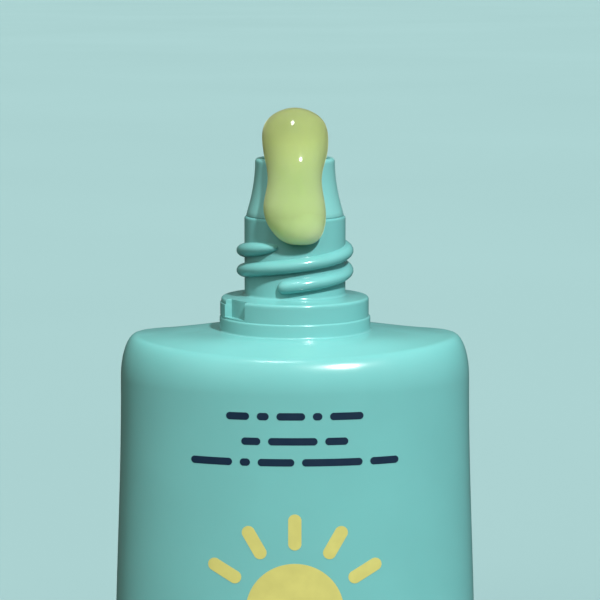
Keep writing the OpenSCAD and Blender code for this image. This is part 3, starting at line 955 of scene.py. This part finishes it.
class BOTTLE_OT_sleeve(Operator):
    """Models the threaded sleeve that is pressed into the cap's socket"""
    bl_idname = "bottle.sleeve"
    bl_label = "Cap sleeve"

    def execute(self, context):
        cap, neck = context.scene.bottle_cap, context.scene.bottle_neck
        y = middle_y(SLEEVE_LOW, SLEEVE_HIGH)
        outer = (SLEEVE_HIGH.x - SLEEVE_LOW.x) / 2 - cap.spline_out
        bore = outer - cap.sleeve_wall
        low, high = SLEEVE_LOW.z, SLEEVE_HIGH.z
        soft = 0.3 * MM
        outline = tube_outline(bore, outer, low, high, soft, 4)
        pieces = [round_skin("cap_sleeve_tube", round_rings(outline, y))]
        thread_out = -(neck.thread_out - cap.thread_gap)
        thread_z = high - neck.lead - neck.thread_w
        for i in range(THREAD_STARTS):
            pieces.append(thread_bead(f"sleeve_thread_{i}", bore, thread_out, neck.lead / 6, thread_z,
                                      2 * math.pi * i / THREAD_STARTS, neck.thread_turn, neck.lead, y))
        spline = [(cap.spline_out, low), (cap.spline_out, low + cap.spline_h - cap.spline_out)]
        spline += arc(0, low + cap.spline_h - cap.spline_out, cap.spline_out, 15, 85, 5)
        for i in range(cap.splines):
            turn = 2 * math.pi * i / cap.splines
            rib = round_skin("sleeve_spline", round_rings(spline), 12)
            bpy.ops.mesh.select_all(action="SELECT")
            bpy.ops.transform.translate(value=(outer * math.cos(turn), y + outer * math.sin(turn), 0))
            pieces.append(rib)
        sleeve = join(pieces)
        hand_over(sleeve, "cap", "cap_plastic", bottle_plastic(context), "cap_sleeve", sharp=40)
        return {"FINISHED"}


class BOTTLE_OT_liner(Operator):
    """Models the sealing disc in the cap, with the ring that the nozzle has pressed into it"""
    bl_idname = "bottle.liner"
    bl_label = "Cap liner"

    def execute(self, context):
        y = middle_y(LINER_LOW, LINER_HIGH)
        r = (LINER_HIGH.x - LINER_LOW.x) / 2
        low, high = LINER_LOW.z, LINER_HIGH.z
        tip_r = context.scene.bottle_nozzle.tip_r
        soft = 0.15 * MM
        outline = [(r - soft, low), (r, low + soft)] + arc(r - soft, high - soft, soft, 0, 90, 3)
        dent_z = high - 0.12 * MM
        outline += [(tip_r + 0.1 * MM, high), (tip_r - 0.1 * MM, dent_z), (tip_r - 0.8 * MM, dent_z),
                    (tip_r - 1.0 * MM, high), (tip_r / 2, high)]
        liner = round_skin("cap_seal", round_rings(outline, y))
        material = foam_material(context.scene.bottle_finishes.foam)
        hand_over(liner, "cap", "liner_foam", material, "cap_liner", sharp=30)
        return {"FINISHED"}


def add_lamp(name, azimuth, elevation, spread, strength, tint):
    """Adds a sun-like lamp, so that the paper is lit evenly; its spread is the angle that it fills."""
    begin()
    bpy.ops.object.light_add(type="SUN", rotation=(math.radians(90 - elevation), 0, math.radians(azimuth)))
    lamp = bpy.context.active_object
    lamp.name = name
    lamp.data.energy = strength
    lamp.data.angle = math.radians(spread)
    lamp.data.color = tint
    lamp.visible_glossy = spread < GLOSSY_SPREAD


class BOTTLE_OT_stage(Operator):
    """Sets up the floor, the backdrop, the lights and the camera"""
    bl_idname = "bottle.stage"
    bl_label = "Stage"

    def execute(self, context):
        stage = context.scene.bottle_stage
        begin()
        bpy.ops.mesh.primitive_plane_add(size=PAPER_W)
        paper = edit("stage_sweep")
        select_where(paper, lambda co: co.y > 0)
        bpy.ops.mesh.extrude_region_move(TRANSFORM_OT_translate={"value": (0, 0, PAPER_WALL_H)})
        select_where(paper, lambda co: co.y > 0 and co.z < PAPER_WALL_H / 2)
        bpy.ops.mesh.bevel(offset=PAPER_BEND_R, segments=24, affect="EDGES")
        bpy.ops.mesh.select_all(action="SELECT")
        bpy.ops.mesh.normals_make_consistent(inside=True)
        pick(paper)
        bpy.ops.object.shade_smooth()
        paper.data.materials.append(stage_material(context.scene.bottle_finishes.stage))
        paper.visible_diffuse = False
        paper.visible_glossy = False
        paper.visible_shadow = False

        aim = Vector(stage.aim)
        back = Vector((math.sin(stage.azimuth) * math.cos(stage.elevation),
                       -math.cos(stage.azimuth) * math.cos(stage.elevation), math.sin(stage.elevation)))
        begin()
        bpy.ops.object.camera_add(location=aim + back * stage.distance)
        camera = context.active_object
        camera.rotation_euler = (-back).to_track_quat("-Z", "Y").to_euler()
        camera.data.lens = camera.data.sensor_width * stage.distance / stage.view_w
        context.scene.camera = camera

        for name, strength, azimuth, elevation, spread, tint in LAMPS:
            add_lamp(name, azimuth, elevation, spread, getattr(stage, strength), tint)
        world = context.scene.world or bpy.data.worlds.new("studio")
        context.scene.world = world
        world.use_nodes = True
        background = world.node_tree.nodes["Background"]
        set_inputs(background, {"Color": ROOM_COLOUR, "Strength": stage.glow})
        context.scene.view_settings.view_transform = "Standard"
        return {"FINISHED"}


class BOTTLE_PT_tools(Panel):
    """Lists the operators and the sizes in the sidebar"""
    bl_label = "Squeeze bottle"
    bl_space_type = "VIEW_3D"
    bl_region_type = "UI"
    bl_category = "Bottle"

    def draw(self, context):
        column = self.layout.column(align=True)
        for operator in OPERATORS:
            column.operator(operator.bl_idname)
        for name in GROUPS:
            box = self.layout.box()
            group = getattr(context.scene, name)
            for key in group.__annotations__:
                box.prop(group, key)


OPERATORS = [
    BOTTLE_OT_body, BOTTLE_OT_neck, BOTTLE_OT_thread, BOTTLE_OT_nozzle, BOTTLE_OT_bead, BOTTLE_OT_fill,
    BOTTLE_OT_lines, BOTTLE_OT_sun, BOTTLE_OT_cap, BOTTLE_OT_sleeve, BOTTLE_OT_liner, BOTTLE_OT_stage,
]
GROUPS = {
    "bottle_body": BodySizes, "bottle_neck": NeckSizes, "bottle_nozzle": NozzleSizes, "bottle_cap": CapSizes,
    "bottle_print": PrintSizes, "bottle_finishes": Finishes, "bottle_stage": StageSizes,
}


def register():
    for group in GROUPS.values():
        bpy.utils.register_class(group)
    for operator in OPERATORS:
        bpy.utils.register_class(operator)
    bpy.utils.register_class(BOTTLE_PT_tools)
    for name, group in GROUPS.items():
        setattr(bpy.types.Scene, name, PointerProperty(type=group))


def unregister():
    for name in GROUPS:
        delattr(bpy.types.Scene, name)
    bpy.utils.unregister_class(BOTTLE_PT_tools)
    for operator in reversed(OPERATORS):
        bpy.utils.unregister_class(operator)
    for group in reversed(list(GROUPS.values())):
        bpy.utils.unregister_class(group)


def main():
    register()
    bpy.ops.bottle.body()
    bpy.ops.bottle.neck()
    bpy.ops.bottle.thread()
    bpy.ops.bottle.nozzle()
    bpy.ops.bottle.bead()
    bpy.ops.bottle.fill()
    bpy.ops.bottle.lines()
    bpy.ops.bottle.sun()
    bpy.ops.bottle.cap()
    bpy.ops.bottle.sleeve()
    bpy.ops.bottle.liner()
    bpy.ops.bottle.stage()
    begin()


if __name__ == "__main__":
    main()
